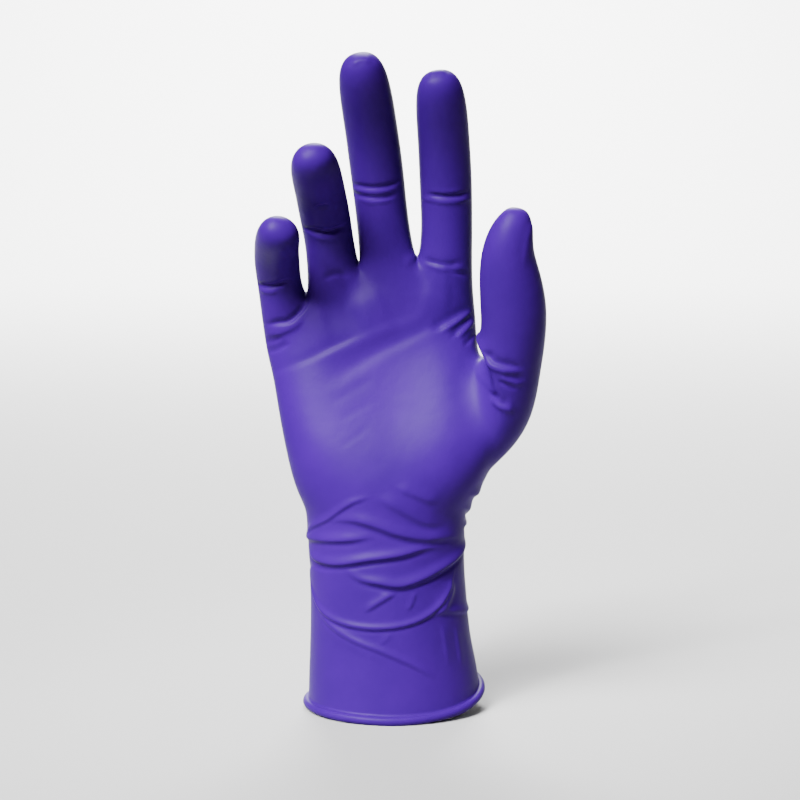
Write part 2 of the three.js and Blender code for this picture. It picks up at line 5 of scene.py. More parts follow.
import bmesh
import bpy
import numpy as np
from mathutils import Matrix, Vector

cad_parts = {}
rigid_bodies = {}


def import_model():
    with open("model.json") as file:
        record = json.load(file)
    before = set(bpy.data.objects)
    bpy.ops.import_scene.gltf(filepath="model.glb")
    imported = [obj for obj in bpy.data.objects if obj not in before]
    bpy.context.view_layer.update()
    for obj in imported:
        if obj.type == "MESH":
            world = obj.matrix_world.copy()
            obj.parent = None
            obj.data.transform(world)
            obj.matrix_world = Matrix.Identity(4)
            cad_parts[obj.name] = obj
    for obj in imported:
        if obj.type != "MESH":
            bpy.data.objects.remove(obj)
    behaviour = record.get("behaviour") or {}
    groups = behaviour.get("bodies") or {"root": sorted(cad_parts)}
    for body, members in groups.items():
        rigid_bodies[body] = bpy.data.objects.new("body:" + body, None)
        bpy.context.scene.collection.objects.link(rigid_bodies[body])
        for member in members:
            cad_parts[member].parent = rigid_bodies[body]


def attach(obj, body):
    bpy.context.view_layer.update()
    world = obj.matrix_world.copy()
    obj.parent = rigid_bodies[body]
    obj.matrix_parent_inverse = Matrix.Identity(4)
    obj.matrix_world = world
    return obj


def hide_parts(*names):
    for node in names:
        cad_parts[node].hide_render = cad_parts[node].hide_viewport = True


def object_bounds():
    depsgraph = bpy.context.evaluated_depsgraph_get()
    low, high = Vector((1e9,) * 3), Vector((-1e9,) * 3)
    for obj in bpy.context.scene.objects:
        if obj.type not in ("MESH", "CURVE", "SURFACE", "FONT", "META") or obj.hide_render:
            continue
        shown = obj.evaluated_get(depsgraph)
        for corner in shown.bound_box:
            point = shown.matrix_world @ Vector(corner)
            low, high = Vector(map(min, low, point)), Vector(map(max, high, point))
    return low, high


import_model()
cad_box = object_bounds()

# The sleeve and the palm
# The glove is one film of nitrile rubber, dipped on a hand-shaped former. The sleeve is a tube
# that narrows to the wrist, and the palm widens and flattens from there up to the knuckles.
# All sizes are in millimetres, and MM makes metres of them.
MM = 0.001
SPOKES = 20
SLEEVE_LENGTH = 78
CUFF_BREADTH = 69
CUFF_DEPTH = 59
WRIST_BREADTH = 62.5
WRIST_DEPTH = 46
WRIST_SHIFT = -3.2
HEM_TILT_SIDE = 5
HEM_TILT_FRONT = 7
HEM_WAVE = 1.6
PALM_LENGTH = 95
PALM_BREADTH = 85
PALM_DEPTH = 29
PALM_SHIFT = -10
PALM_LEAN = 9.5
PALM_HOLLOW = 5
KNUCKLE_SLANT = 9.5
KNUCKLE_ARCH = 8

# up, narrow, thin, shift, flare
SLEEVE_RINGS = [
    (0.0, 0.12, 0.0, 0.2, 0.03),
    (0.12, 0.3, 0.2, 0.3, 0.02),
    (0.26, 0.62, 0.38, 0.48, 0.0),
    (0.4, 0.84, 0.52, 0.6, 0.0),
    (0.51, 0.94, 0.66, 0.7, 0.0),
    (0.585, 0.98, 0.75, 0.82, 0.0),
    (0.66, 1.0, 0.82, 0.9, 0.0),
    (0.735, 0.98, 0.88, 0.95, 0.0),
    (0.81, 0.9, 0.93, 1.0, 0.0),
    (0.885, 0.82, 0.97, 1.0, 0.0),
    (0.96, 0.72, 1.0, 1.0, 0.005),
]

# up, left, right, thin, shift, lean, slant, hollow, ball, patch, square
PALM_RINGS = [
    (0.03, 0.36, 0.5, 0.0, 0.0, 0.0, 0.0, 0.0, 0.15, 12, 2.0),
    (0.12, 0.6, 0.96, 0.06, 0.02, 0.02, 0.0, 0.1, 0.5, 34, 2.05),
    (0.26, 0.78, 1.0, 0.2, 0.12, 0.14, 0.05, 0.45, 0.85, 40, 2.15),
    (0.4, 0.82, 1.05, 0.42, 0.38, 0.36, 0.2, 0.85, 0.85, 40, 2.2),
    (0.59, 0.82, 1.04, 0.68, 0.71, 0.64, 0.54, 1.0, 0.42, 31, 2.25),
    (0.695, 0.88, 1.0, 0.84, 0.87, 0.82, 0.78, 0.65, 0.0, 12, 2.3),
    (0.79, 0.93, 1.02, 0.98, 1.0, 0.94, 1.0, 0.2, 0.0, 0, 2.3),
]


def mix(low, high, share):
    return low + (high - low) * share


def swell(count):
    """Smoothing draws a ring of points inwards by this factor."""
    return 6 / (4 + 2 * math.cos(2 * math.pi / count))


def rounded(cosine, power):
    return math.copysign(abs(cosine) ** (2 / power), cosine)


def sleeve_place(row, turn):
    """Where a point of a sleeve ring lies; turn 0 is the thumb's side and 90 degrees the back."""
    up, narrow, thin, shift, flare = row
    c, s = math.cos(turn), math.sin(turn)
    half = mix(CUFF_BREADTH, WRIST_BREADTH, narrow) / 2
    depth = mix(CUFF_DEPTH, WRIST_DEPTH, thin) / 2
    side_rise = half * math.tan(math.radians(HEM_TILT_SIDE)) * c
    back_rise = depth * math.tan(math.radians(HEM_TILT_FRONT)) * s
    rise = (1 - up) ** 2 * (side_rise + back_rise + HEM_WAVE * 2 * s * c)
    across = half * (1 + flare if c > 0 else 1) * swell(SPOKES) * c
    return Vector((
        WRIST_SHIFT * shift + across,
        depth * swell(SPOKES) * s,
        SLEEVE_LENGTH * up + rise,
    ))


def palm_y(lean):
    return PALM_LENGTH * math.tan(math.radians(PALM_LEAN)) * lean


def palm_place(row, turn):
    """Where a point of a palm ring lies; the thumb's ball stands forward, the middle is hollow."""
    up, left, right, thin, shift, lean, slant, hollow, ball, patch, square = row
    angle = turn + math.radians(patch) * math.sin(turn) * max(0, math.cos(turn))
    c, s = math.cos(angle), math.sin(angle)
    half = mix(WRIST_BREADTH, PALM_BREADTH, right if c > 0 else left) / 2
    across = half * swell(SPOKES) * rounded(c, square)
    deep = mix(WRIST_DEPTH, PALM_DEPTH, thin) / 2 * swell(SPOKES) * rounded(s, square)
    front, thumb_side = max(0, -s), max(0, c)
    push = ball * PALM_DEPTH * front * thumb_side ** 2 - hollow * PALM_HOLLOW * front ** 4
    slope = mix(WRIST_BREADTH, PALM_BREADTH, left) / 2 * math.tan(math.radians(KNUCKLE_SLANT))
    rise = slant * (slope * c - KNUCKLE_ARCH * c ** 2)
    return Vector((
        mix(WRIST_SHIFT, PALM_SHIFT, shift) + across,
        palm_y(lean) + deep - push,
        SLEEVE_LENGTH + PALM_LENGTH * up + rise,
    ))


# Each point of the cage is marked with its spoke, its ring and its stop round a patch.
MARKS = ("spoke", "ring", "stop")
bpy.ops.object.select_all(action="DESELECT")
bpy.ops.mesh.primitive_circle_add(vertices=SPOKES, radius=CUFF_BREADTH / 2 * MM)
glove = bpy.context.object
glove.name = "glove"
for layer in MARKS:
    glove.data.attributes.new(layer, "INT", "POINT")
for vertex in glove.data.vertices:
    turn = math.atan2(vertex.co.y, vertex.co.x) / (2 * math.pi) * SPOKES
    glove.data.attributes["spoke"].data[vertex.index].value = round(turn) % SPOKES

bpy.ops.object.mode_set(mode="EDIT")
bpy.ops.mesh.select_all(action="SELECT")


def marks(cage):
    """The layers of the cage that hold the marks."""
    return [cage.verts.layers.int[name] for name in MARKS]


def place_ring(number, place):
    """Moves the ring of points that was drawn out last, so it takes its place."""
    cage = bmesh.from_edit_mesh(glove.data)
    spoke, ring, _ = marks(cage)
    for point in cage.verts:
        if point.select:
            point[ring] = number
            point.co = place(point[spoke]) * MM
    bmesh.update_edit_mesh(glove.data)


TRUNK_RINGS = [(sleeve_place, row) for row in SLEEVE_RINGS]
TRUNK_RINGS += [(palm_place, row) for row in PALM_RINGS]
for number, (shape, row) in enumerate(TRUNK_RINGS):
    if number:
        bpy.ops.mesh.extrude_edges_move()
    place_ring(number, lambda spoke: shape(row, 2 * math.pi * spoke / SPOKES))

# The knuckles and the webs
# The top of the palm closes over the feet of the fingers. Each finger leaves through a patch of
# four faces, and between two fingers the film spans a short web.
MIDDLE_FOOT_SHIFT = -3
FINGER_SPACING = 21.8
FINGER_FLATNESS = 0.93
FINGER_POINTS = 8
WEB_RISE = 3.8

# length, breadth, spaces, up, lean, joint, splay, hook, curl, middle bend, end bend
FINGERS = {
    "index": (85, 21, -1.12, 0.96, 0.9, 0.34, -0.8, 6.5, 2, 12, 12),
    "middle": (91, 21.2, 0, 1.0, 1.01, 0.34, 5, 3, 5, 15, 12),
    "ring": (75, 20, 0.96, 0.945, 0.98, 0.3, 8.5, -5, 20, 26, 14),
    "little": (52.5, 18, 1.92, 0.825, 0.8, 0.3, 10, -20, 24, 26, 14),
}

# wide, deep, and how far the back, the middle and the front lie below the foot or the web
KNUCKLE_COLUMNS = {
    "outer": (0.85, 0.7, 0.32, 0.22, 0.3),
    "middle": (1.0, 1.12, 0.45, 0.0, 0.22),
    "web": (1.0, 0.78, 0.6, 0.0, 0.25),
}


def foot_of(finger):
    _, _, spaces, up, lean = finger[:5]
    return Vector((
        MIDDLE_FOOT_SHIFT - spaces * FINGER_SPACING,
        palm_y(lean),
        SLEEVE_LENGTH + PALM_LENGTH * up,
    ))


def knuckle_column(kind, breadth, middle, side=0):
    """The back, middle and front point of one column across the top of the palm."""
    wide, deep, back_drop, middle_drop, front_drop = KNUCKLE_COLUMNS[kind]
    out = side * breadth / 2
    depth = breadth * FINGER_FLATNESS / 2 * deep * swell(FINGER_POINTS)
    return (
        middle + Vector((out * wide, depth, -back_drop * breadth)),
        middle + Vector((out, 0, -middle_drop * breadth)),
        middle + Vector((out * wide, -depth, -front_drop * breadth)),
    )


fingers = list(FINGERS.values())
columns = [knuckle_column("outer", fingers[0][1], foot_of(fingers[0]), 1)]
for finger, neighbour in zip(fingers, fingers[1:] + [None]):
    foot = foot_of(finger)
    columns.append(knuckle_column("middle", finger[1], foot))
    if neighbour:
        web = (foot + foot_of(neighbour)) / 2
        web.z = min(foot.z, foot_of(neighbour).z) + WEB_RISE
        columns.append(knuckle_column("web", finger[1], web))
    else:
        columns.append(knuckle_column("outer", finger[1], foot, -1))

knuckle_line = [columns[0][1], *[column[0] for column in columns], columns[-1][1]]
knuckle_line += [column[2] for column in reversed(columns)]
TOP = len(TRUNK_RINGS)
bpy.ops.mesh.extrude_edges_move()
place_ring(TOP, lambda spoke: knuckle_line[spoke])

# The back and the front of that line are bridged, with one cut down the middle of the bridge.
bpy.ops.mesh.select_mode(type="EDGE")
cage = bmesh.from_edit_mesh(glove.data)
spoke, ring, _ = marks(cage)
before_bridge = len(cage.verts)
for edge in cage.edges:
    spokes = {point[spoke] for point in edge.verts}
    on_top = all(point[ring] == TOP for point in edge.verts)
    edge.select_set(on_top and not spokes & {0, SPOKES // 2})
cage.select_flush(True)
bmesh.update_edit_mesh(glove.data)
bpy.ops.mesh.bridge_edge_loops(number_cuts=1)
bpy.ops.mesh.select_mode(type="VERT")
cage = bmesh.from_edit_mesh(glove.data)
cut = sorted(list(cage.verts)[before_bridge:], key=lambda point: -point.co.x)
for point, column in zip(cut, columns):
    point.co = column[1] * MM
bmesh.update_edit_mesh(glove.data)
bpy.ops.mesh.select_all(action="SELECT")
bpy.ops.mesh.remove_doubles(threshold=0.01 * MM)


# The fingers
# Each finger is a tube with its own lean. The index and the middle finger stand nearly straight,
# and the ring and the little finger curl forward at two joints.
def select_patch(places):
    """Selects the points of a patch and gives each one its stop, in the order of the places."""
    bpy.ops.mesh.select_all(action="DESELECT")
    cage = bmesh.from_edit_mesh(glove.data)
    stop = marks(cage)[2]
    for number, place in enumerate(places):
        point = min(cage.verts, key=lambda one: (one.co - place).length)
        point.select = True
        point[stop] = number
    cage.select_flush(True)
    bmesh.update_edit_mesh(glove.data)


def draw_out(count, inner, centre, along, half_breadth, half_depth):
    """Extrudes the patch by one ring: count points go round it, the inner ones across it."""
    back = (Vector((0, 1, 0)) - along * along.y).normalized()
    side = back.cross(along)
    bpy.ops.mesh.extrude_region_move()
    cage = bmesh.from_edit_mesh(glove.data)
    stop = marks(cage)[2]
    for point in cage.verts:
        if point.select:
            number = point[stop]
            turn = 2 * math.pi * number / count
            c, s, rise = math.cos(turn), math.sin(turn), 0
            if number >= count:
                (c, rise), s = inner[number - count], 0
            across = side * (c * half_breadth * swell(count)) + back * (s * half_depth * swell(count))
            point.co = (centre + across + along * rise) * MM
    bmesh.update_edit_mesh(glove.data)


def direction(splay, curl):
    """Straight up, turned to the left by splay and tipped to the front by curl."""
    s, c = math.radians(splay), math.radians(curl)
    return Vector((-math.sin(s), -math.cos(s) * math.sin(c), math.cos(s) * math.cos(c)))


# A ring's place is 0 at the foot, 1 at the middle joint and 2 at the tip.
# place, share of the middle bend, share of the end bend, breadth, depth, dome
FINGER_RINGS = [
    (0.5, 0.0, 0.0, 0.97, 1.02, 0.0),
    (1.0, 0.3, 0.0, 0.99, 0.98, 0.0),
    (1.2, 0.8, 0.0, 1.0, 0.97, 0.0),
    (1.42, 1.0, 0.2, 0.98, 0.93, 0.0),
    (1.64, 1.0, 0.8, 0.98, 0.92, 0.0),
    (1.85, 1.0, 1.0, 0.9, 0.86, 0.0),
    (1.96, 1.0, 1.0, 0.6, 0.55, 0.11),
]


def finger_line(finger):
    """The middle and the heading of each ring of a finger."""
    length, _, _, _, _, joint, splay, hook, curl, middle_bend, end_bend = finger

    def along_of(place):
        return place * joint if place < 1 else mix(joint, 1, place - 1)

    headings = [
        direction(splay + hook * along_of(place), curl + middle * middle_bend + end * end_bend)
        for place, middle, end, _, _, _ in FINGER_RINGS
    ]
    centre, reached, line = foot_of(finger), 0, []
    for (place, *_), heading, after in zip(FINGER_RINGS, headings, headings[1:] + headings[-1:]):
        centre = centre + heading * (along_of(place) - reached) * length
        reached = along_of(place)
        line.append((centre, (heading + after).normalized()))
    return line


for number, finger in enumerate(fingers):
    (right_back, right, right_front), (back, middle, front), (left_back, left, left_front) = (
        [place * MM for place in column] for column in columns[2 * number:2 * number + 3]
    )
    select_patch([right, right_back, back, left_back, left, left_front, front, right_front, middle])
    for (centre, along), (_, _, _, breadth, depth, dome) in zip(finger_line(finger), FINGER_RINGS):
        half = finger[1] / 2
        inner = [(0, dome * finger[1])]
        draw_out(FINGER_POINTS, inner, centre, along, half * breadth, half * FINGER_FLATNESS * depth)

# The thumb
# The thumb's tube fans out round the web beside the index finger, then stands up and bends back
# a little at its end joint.
THUMB_LENGTH = 82
THUMB_BREADTH = 26
THUMB_DEPTH = 24
THUMB_POINTS = 10
THUMB_INNER = 0.33
THUMB_WEB_UP = 0.67
THUMB_WEB = Vector((
    PALM_SHIFT + PALM_BREADTH / 2,
    palm_y(THUMB_WEB_UP),
    SLEEVE_LENGTH + PALM_LENGTH * THUMB_WEB_UP,
))

# right, up, front, splay, curl, breadth, depth, dome
THUMB_RINGS = [
    (0.07, -0.335, 0.14, -90, 12, 1.78, 1.34, 0.0),
    (0.12, -0.25, 0.2, -75, 22, 1.66, 1.32, 0.0),
    (0.14, -0.14, 0.25, -54, 28, 1.58, 1.22, 0.0),
    (0.152, -0.04, 0.29, -28, 28, 1.14, 1.1, 0.0),
    (0.178, 0.06, 0.32, -6, 22, 0.98, 1.02, 0.0),
    (0.175, 0.21, 0.36, 3, 16, 1.01, 0.98, 0.0),
    (0.152, 0.36, 0.39, 6, 10, 0.92, 0.88, 0.0),
    (0.138, 0.48, 0.41, 0, 6, 0.77, 0.78, 0.0),
    (0.163, 0.59, 0.42, -8, 4, 0.64, 0.62, 0.0),
    (0.188, 0.665, 0.42, -12, 4, 0.36, 0.36, 0.06),
]
THUMB_ROWS = PALM_RINGS[1:5]
one_spoke = 2 * math.pi / SPOKES
thumb_side = [palm_place(row, 0) for row in THUMB_ROWS]
front_edge = [palm_place(row, -one_spoke) for row in THUMB_ROWS]
back_edge = [palm_place(row, one_spoke) for row in THUMB_ROWS]
round_thumb = [thumb_side[0], *back_edge, thumb_side[-1], *reversed(front_edge), *thumb_side[1:-1]]
select_patch([place * MM for place in round_thumb])
for right, up, forward, splay, curl, breadth, depth, dome in THUMB_RINGS:
    centre = THUMB_WEB + Vector((right, -forward, up)) * THUMB_LENGTH
    half_breadth, half_depth = THUMB_BREADTH * breadth / 2, THUMB_DEPTH * depth / 2
    inner = [(share, dome * THUMB_BREADTH) for share in (THUMB_INNER, -THUMB_INNER)]
    draw_out(THUMB_POINTS, inner, centre, direction(splay, curl), half_breadth, half_depth)

bpy.ops.mesh.select_all(action="SELECT")
bpy.ops.mesh.normals_make_consistent(inside=False)
bpy.ops.object.mode_set(mode="OBJECT")

# The outer and the inner face of the film
# The film has an outer face, which shows, and an inner one, which is a plainer copy of it. Both
# are the smooth form of the same cage.
bpy.ops.object.duplicate()
inside = bpy.context.object
for face, level in ((glove, 3), (inside, 2)):
    bpy.context.view_layer.objects.active = face
    smoothing = face.modifiers.new("smooth film", "SUBSURF")
    smoothing.levels = smoothing.render_levels = level
    smoothing.boundary_smooth = "ALL"
    bpy.ops.object.modifier_apply(modifier=smoothing.name)

# The folds of the film
# The sleeve is longer than the stretch it covers, so it gathers at the wrist. A fold is a ridge
# with a soft upper side, a crisp lower one and a slack dip below that, and it runs out at both
# ends. A height below 0 makes a groove.
SLEEVE_REACH = 28
SOFT_SIDE = 2.1
DIP_PLACE = 1.7
END_SHARE = 0.3
END_WIDTH = 0.6
FOLD_REACH = 4

# Round the sleeve a path goes in degrees from the palm's side over the thumb's, and up from the hem.
# height, width, dip, path
SLEEVE_FOLDS = [
    (1.21, 1.49, 0.21, [
        (-52, 72.5), (-26, 74.0), (-10, 72.5), (8, 69.0), (28, 66.5), (50, 66.0), (74, 64.5),
    ]),
    (0.64, 0.81, 0.13, [(-84, 64.5), (-72, 68.0), (-48, 73.0), (-26, 80.5), (-8, 84.0)]),
    (1.11, 1.24, 0.25, [(-104, 64.0), (-78, 64.0), (-52, 64.8), (-28, 66.0), (-6, 68.0)]),
    (1.3, 1.18, 0.34, [
        (-86, 62.0), (-74, 57.5), (-58, 56.0), (-36, 56.0), (-12, 58.5), (10, 60.3), (30, 62.5),
        (54, 61.8),
    ]),
    (1.38, 1.24, 0.29, [
        (-34, 56.0), (-20, 51.0), (-4, 49.2), (10, 48.2), (26, 50.5), (44, 54.0), (66, 57.5),
        (92, 61.0), (118, 62.0),
    ]),
    (0.89, 0.75, 0.29, [
        (-92, 52.0), (-80, 45.0), (-64, 38.5), (-48, 34.6), (-28, 32.0), (-8, 31.2), (10, 32.2),
        (26, 35.0), (40, 40.0), (54, 48.0), (62, 55.0),
    ]),
    (1.12, 2.0, 0.07, [(36, 36.0), (48, 41.5), (57, 49.0)]),
    (0.74, 0.99, 0.21, [(26, 34.5), (40, 36.5), (58, 35.5), (84, 34.0), (112, 35.0)]),
    (0.75, 0.75, 0.1, [(-66, 37.5), (-44, 31.0), (-22, 26.0), (0, 21.5), (22, 14.5), (34, 8.0)]),
    (0.18, 1.24, 0.08, [(-62, 31.0), (-40, 27.0), (-18, 22.5), (2, 17.0)]),
    (0.67, 0.87, 0.1, [(-16, 37.0), (-4, 41.8), (8, 46.0)]),
    (0.35, 0.62, 0.1, [(14, 37.5), (18, 41.5), (21, 46.0)]),
    (0.24, 0.62, 0.08, [(-4, 24.5), (0, 26.8), (4, 29.5)]),
    (0.29, 1.12, 0.13, [(40, 33.0), (42, 24.0), (43, 14.0)]),
    (0.29, 1.12, 0.13, [(54, 31.0), (56, 22.0), (56, 12.0)]),
    (0.74, 1.74, 0.13, [(-8, 84.0), (8, 79.5), (28, 73.5), (48, 71.5)]),
    (0.56, 1.36, 0.13, [(6, 88.0), (22, 84.0), (40, 80.0)]),
    (-0.52, 1.12, 0.0, [(-100, 49.0), (-80, 52.5), (-58, 53.0), (-38, 52.5)]),
    (1.11, 1.18, 0.25, [(64, 77.5), (84, 75.5), (104, 72.0), (132, 70.0), (160, 71.5)]),
    (1.11, 1.24, 0.25, [
        (70, 69.0), (92, 68.5), (116, 66.0), (150, 64.0), (190, 66.5), (226, 68.0),
    ]),
    (1.11, 1.36, 0.25, [(108, 60.5), (140, 57.0), (176, 56.0), (212, 59.5), (246, 63.0)]),
    (0.84, 1.24, 0.21, [(60, 83.0), (80, 82.0), (100, 80.0), (124, 80.5)]),
    (0.93, 1.36, 0.21, [(150, 79.0), (180, 76.0), (214, 75.5), (246, 72.5), (268, 69.0)]),
    (0.84, 1.49, 0.21, [
        (96, 50.0), (128, 46.5), (164, 46.0), (200, 50.0), (236, 53.0), (262, 52.0),
    ]),
    (0.74, 1.61, 0.17, [(132, 36.0), (166, 33.0), (204, 34.5), (240, 40.0), (266, 46.0)]),
    (-0.45, 1.61, 0.0, [(90, 27.0), (124, 25.0), (160, 22.0), (196, 17.0), (226, 10.0)]),
]

# On the front of the hand a path goes in millimetres to the right and up.
# height, width, path
FRONT_FOLDS = {
    "palm": [
        (-0.42, 1.3, [(-53, 127.4), (-42, 132.2), (-33, 136.0), (-24, 140.5), (-14, 145.4)]),
        (-0.7, 2.8, [(-32, 137.4), (-20, 143.0), (-8, 148.6), (4, 152.6), (14, 157.0)]),
        (0.5, 3.4, [(-34, 132.5), (-24.5, 138.0), (-14, 143.4), (-3, 148.8), (8, 153.5)]),
        (-0.7, 2.4, [
            (-31, 124.0), (-22, 129.0), (-11.5, 135.5), (-3, 140.2), (8, 145.5), (19, 150.4),
            (31, 154.5),
        ]),
        (-0.1, 1.1, [(-27, 116.5), (-17, 122.8), (-6, 128.8)]),
        (-0.08, 1.0, [(-23, 110.8), (-14, 116.0), (-7, 119.5)]),
        (-0.09, 1.1, [(-22.5, 100.5), (-15.5, 105.6), (-8, 111.0)]),
        (-0.9, 6.0, [(-30, 150.5), (-21, 152.5), (-10, 155.0)]),
        (-1.1, 0.8, [(-54, 147.6), (-47, 149.0), (-41.5, 150.2), (-36.5, 155.0), (-33.0, 162.0)]),
        (0.8, 1.3, [(-52, 143.5), (-46, 145.2), (-40.5, 147.6), (-35.5, 151.2)]),
        (-0.7, 0.9, [(-51.5, 136.0), (-46.5, 138.6), (-41, 141.4)]),
        (-0.5, 0.9, [(-52, 140.5), (-48.5, 141.6), (-44, 143.6)]),
        (-0.8, 1.3, [(14, 146.0), (22, 150.0), (31.5, 155.6)]),
        (0.6, 1.1, [(18, 145.5), (25, 149.5), (32, 154.0)]),
        (-0.7, 1.0, [(22, 143.0), (27, 147.4), (32, 152.0)]),
        (0.5, 0.9, [(25, 143.0), (29, 146.5), (33, 150.0)]),
        (-0.5, 0.8, [(27.5, 140.2), (30.5, 142.2), (33.5, 145.0)]),
        (0.9, 5.5, [(-3, 161.0), (-10, 157.5), (-19, 153.0)]),
        (0.7, 5.0, [(10, 162.0), (17, 160.0), (24, 160.0)]),
        (0.5, 1.0, [(3.5, 172.0), (7.5, 174.5), (9.5, 178.5)]),
    ],
    "thumb": [
        (0.5, 1.5, [(55.0, 193.0), (52.0, 186.5), (50.0, 174.0)]),
        (-1.1, 1.0, [(34.4, 142.0), (36.6, 139.6), (39, 137.2), (45, 135.6), (52.5, 134.6)]),
        (0.8, 1.2, [(34.5, 138.8), (38, 135.4), (43, 133.6), (51, 132.4)]),
        (-0.7, 0.9, [(42, 132.2), (46, 131.0), (52, 129.8)]),
        (0.7, 1.0, [(41, 131.2), (45, 129.4), (51, 127.4)]),
        (-0.6, 0.9, [(40, 129.8), (44, 128.0), (49, 125.8)]),
        (0.3, 1.2, [(31.5, 133.2), (34.5, 129.0), (38, 126.2), (42.5, 123.6)]),
        (-0.9, 1.1, [(37.0, 124.6), (40.5, 121.6), (46, 119.2)]),
        (0.8, 1.2, [(38, 122.4), (42, 119.2), (48.5, 116.6)]),
    ],
    "fingers": [
        (-0.9, 0.55, [(-19, 205.0), (-14, 203.8), (-8, 203.2), (-1, 204.2), (4, 206.6)]),
        (-0.8, 0.5, [(-22, 202.4), (-15, 200.2), (-8, 199.2), (-2, 199.8), (3, 201.4)]),
        (0.2, 0.7, [(-20, 203.2), (-8, 201.2), (5, 203.8)]),
        (0.3, 0.6, [(-15, 198.2), (-8, 197.4), (1, 198.6)]),
        (-0.9, 0.5, [(12, 200.9), (16, 200.2), (21, 199.8), (27, 200.4), (31, 201.8)]),
        (0.2, 0.6, [(13, 202.2), (21, 201.2), (29, 202.8)]),
        (0.45, 0.55, [(8, 199.0), (14, 198.2), (21, 197.3), (28, 198.2), (35, 200.0)]),
        (-2.0, 0.8, [(-37, 188.2), (-32, 186.0), (-26, 185.4), (-21.5, 186.8), (-17, 190.0)]),
        (0.3, 0.8, [(-32, 184.2), (-26, 182.8), (-20, 184.6)]),
        (-1.0, 0.7, [(-31, 197.0), (-28, 196.4), (-24.5, 197.6)]),
        (-1.6, 0.8, [(-57, 164.6), (-48, 164.0), (-40, 167.6)]),
        (0.3, 0.7, [(-54, 162.2), (-50, 161.6), (-46, 162.0)]),
        (-0.9, 0.6, [(10.5, 175.0), (16, 173.2), (22, 172.4), (29, 174.0)]),
        (0.5, 0.6, [(12, 172.8), (18, 171.0), (24, 170.6), (31, 169.8)]),
        (-0.6, 0.6, [(20, 171.8), (25, 169.4), (31, 167.8)]),
        (-0.7, 0.9, [(-29, 166.2), (-23, 168.6), (-17, 167.4)]),
        (0.4, 1.0, [(-17, 251.2), (-12.5, 253.6), (-8, 252.4)]),
        (0.4, 1.0, [(13, 247.4), (17, 249.4), (21, 248.4)]),
    ],
}


def smooth_step(share):
    share = np.clip(share, 0, 1)
    return share * share * (3 - 2 * share)


def rounded_path(path, steps=8):
    """A smooth line through the points of a path."""
    p = np.array(path, float)
    p = np.vstack([2 * p[0] - p[1], p, 2 * p[-1] - p[-2]])
    t = np.linspace(0, 1, steps, endpoint=False)[:, None]
    line = [
        b + (c - a) / 2 * t + (a - 2.5 * b + 2 * c - d / 2) * t ** 2
        + (1.5 * (b - c) + (d - a) / 2) * t ** 3
        for a, b, c, d in zip(p, p[1:], p[2:], p[3:])
    ]
    return np.vstack([*line, p[-2:-1]])


def fold_relief(where, height, width, dip, path):
    """How far each point of the film is lifted by one fold, in millimetres."""
    line = rounded_path(path)
    relief = np.zeros(len(where))
    low, high = line.min(0) - FOLD_REACH * width, line.max(0) + FOLD_REACH * width
    near = np.all((where > low) & (where < high), axis=1)
    here = where[near][:, None, :]
    start, way = line[:-1], np.diff(line, axis=0)
    share = np.clip(((here - start) * way).sum(2) / (way ** 2).sum(1), 0, 1)
    off = here - start - share[..., None] * way
    distance = np.linalg.norm(off, axis=2)
    nearest = distance.argmin(axis=1)
    rows = np.arange(len(nearest))
    along = (nearest + share[rows, nearest]) / len(way)
    side = way[nearest, 0] * off[rows, nearest, 1] - way[nearest, 1] * off[rows, nearest, 0]
    signed = distance[rows, nearest] * np.sign(side)
    ends = smooth_step(along / END_SHARE) * smooth_step((1 - along) / END_SHARE)
    wide = width * mix(END_WIDTH, 1, ends) * np.where(signed > 0, SOFT_SIDE, 1)
    below = signed / width + DIP_PLACE
    relief[near] = height * ends * (np.exp(-(signed / wide) ** 2) - dip * np.exp(-below ** 2))
    return relief


def points_of(face):
    """The places of a face's points, in millimetres, and the way that each one faces."""
    spots, facing = np.empty((2, len(face.data.vertices) * 3))
    face.data.vertices.foreach_get("co", spots)
    face.data.vertices.foreach_get("normal", facing)
    return spots.reshape(-1, 3) / MM, facing.reshape(-1, 3)


FRONT_FROM = 0.05
FRONT_BLEND = 0.4


def every_fold(spots, facing):
    """The width of each fold, with the lift that it gives to each point."""
    across, forward = (spots[:, 0] - WRIST_SHIFT) / WRIST_BREADTH, -spots[:, 1] / WRIST_DEPTH
    turn = np.degrees(np.arctan2(across, forward))
    round_sleeve = math.radians(SLEEVE_REACH)
    for height, width, dip, path in SLEEVE_FOLDS:
        middle = sum(point[0] for point in path) / len(path)
        from_middle = (turn - middle + 180) % 360 - 180 + middle
        where = np.column_stack([from_middle * round_sleeve, spots[:, 2]])
        laid = [(degrees * round_sleeve, up) for degrees, up in path]
        yield width, fold_relief(where, height, width, dip, laid)
    front = smooth_step((-facing[:, 1] - FRONT_FROM) / FRONT_BLEND)
    for folds in FRONT_FOLDS.values():
        for height, width, path in folds:
            yield width, front * fold_relief(spots[:, [0, 2]], height, width, 0, path)


def edit_points(chosen):
    """Opens the outer face for editing, with just the chosen points selected."""
    bpy.ops.object.mode_set(mode="EDIT")
    bpy.ops.mesh.select_mode(type="VERT")
    bpy.ops.mesh.select_all(action="DESELECT")
    bpy.ops.object.mode_set(mode="OBJECT")
    glove.data.vertices.foreach_set("select", chosen)
    bpy.ops.object.mode_set(mode="EDIT")


